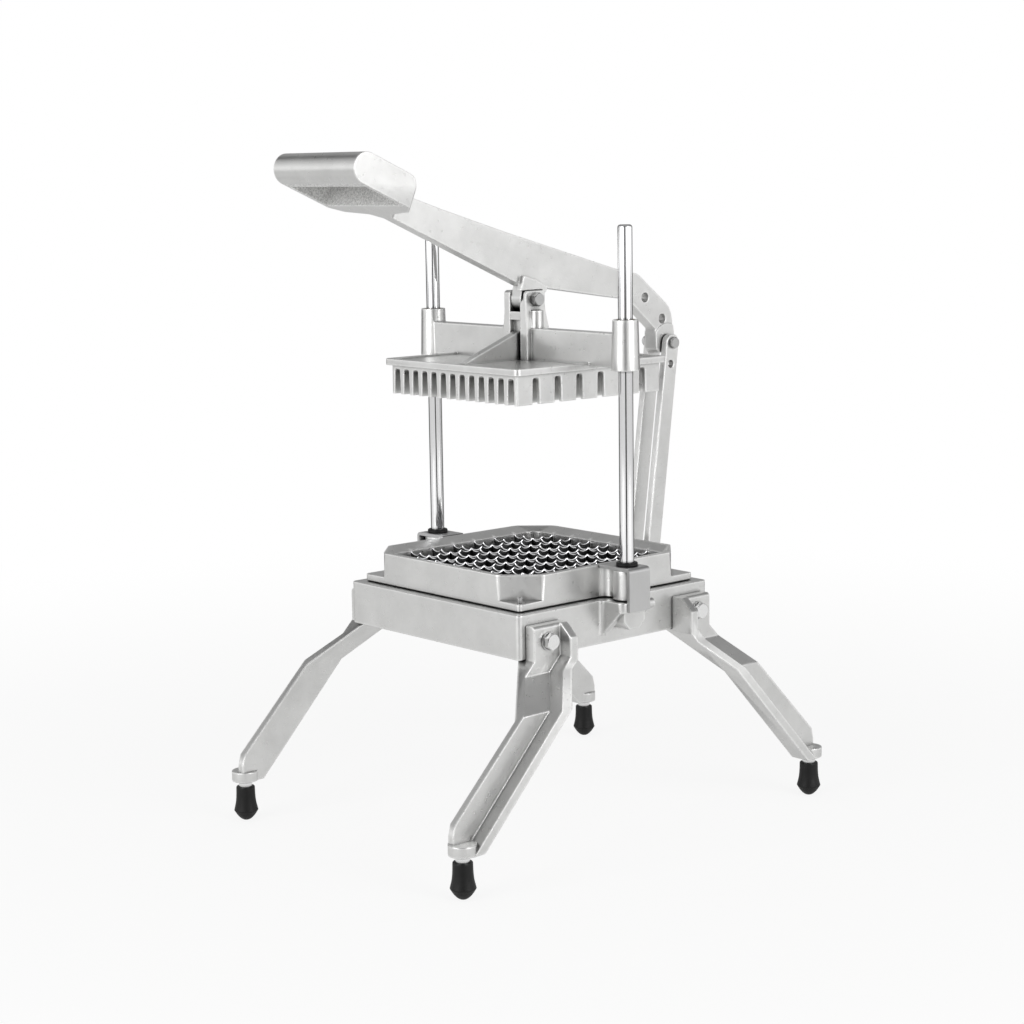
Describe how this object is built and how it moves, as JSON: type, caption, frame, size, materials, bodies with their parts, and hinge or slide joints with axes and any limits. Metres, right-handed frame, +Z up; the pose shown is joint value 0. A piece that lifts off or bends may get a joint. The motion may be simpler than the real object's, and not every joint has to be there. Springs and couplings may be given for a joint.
{
  "type": "french fry cutter",
  "caption": "Vertical push cutter: a hand lever drives a fingered pusher head down guide posts through a grid of scalloped blades, on a base with splayed legs.",
  "frame": {"origin": "on the table under the middle of the feet and between the guide posts", "axes": "+Z up, -Y towards the operator and the handle, +X to the operator's right; the links are at +Y"},
  "size_m": [0.3282, 0.4529, 0.5965],
  "materials": {
    "cast_aluminium": "satin, bead blasted, worn brighter at the edges",
    "polished_steel": "ground and polished",
    "blade_steel": "ground, bright cutting edges",
    "sheet_steel": "satin sheet",
    "bolt_steel": "bright plated",
    "bearing_bronze": "plain bearing bronze",
    "black_rubber": "moulded, satin"
  },
  "bodies": {
    "stand": {"base_casting": "cast_aluminium", "blade_frame": "cast_aluminium", "locating_stud": "bolt_steel", "lengthwise_blades": "blade_steel", "crosswise_blades": "blade_steel", "left_guide_post": "polished_steel", "right_guide_post": "polished_steel", "left_strap": "sheet_steel", "right_strap": "sheet_steel", "stop_rings": "black_rubber", "front_left_leg": "cast_aluminium", "front_right_leg": "cast_aluminium", "rear_left_leg": "cast_aluminium", "rear_right_leg": "cast_aluminium", "leg_bolts": "bolt_steel", "leg_washers": "bolt_steel", "leg_nuts": "bolt_steel", "foot_stems": "bolt_steel", "front_left_foot": "black_rubber", "front_right_foot": "black_rubber", "rear_left_foot": "black_rubber", "rear_right_foot": "black_rubber"},
    "pusher": {"pusher_head": "cast_aluminium", "bushing_liners": "bearing_bronze", "clevis_bolt": "bolt_steel", "clevis_nut": "bolt_steel"},
    "lever": {"lever": "cast_aluminium"},
    "links": {"left_link": "cast_aluminium", "right_link": "cast_aluminium", "rear_bolt": "bolt_steel", "rear_nut": "bolt_steel", "rear_washers": "bolt_steel", "low_bolt": "bolt_steel", "low_nut": "bolt_steel", "low_washers": "bolt_steel"}
  },
  "joints": [
    {"name": "pusher_slide", "type": "slide", "parent": "stand", "child": "pusher", "axis": [0, 0, -1], "range_m": [0, 0.165]},
    {"name": "lever_pivot", "type": "hinge", "parent": "pusher", "child": "lever", "pos_m": [0, 0, 0.467], "axis": [1, 0, 0], "range_deg": [0, 56.6]},
    {"name": "link_pivot", "type": "hinge", "parent": "lever", "child": "links", "pos_m": [0, 0.1734, 0.4177], "axis": [1, 0, 0], "range_deg": [-47.4, 0]}
  ],
  "couplings": [
    {"joint": "lever_pivot", "follows": "pusher_slide", "rad_per_m": 5.9868},
    {"joint": "link_pivot", "follows": "pusher_slide", "rad_per_m": -5.0135}
  ]
}
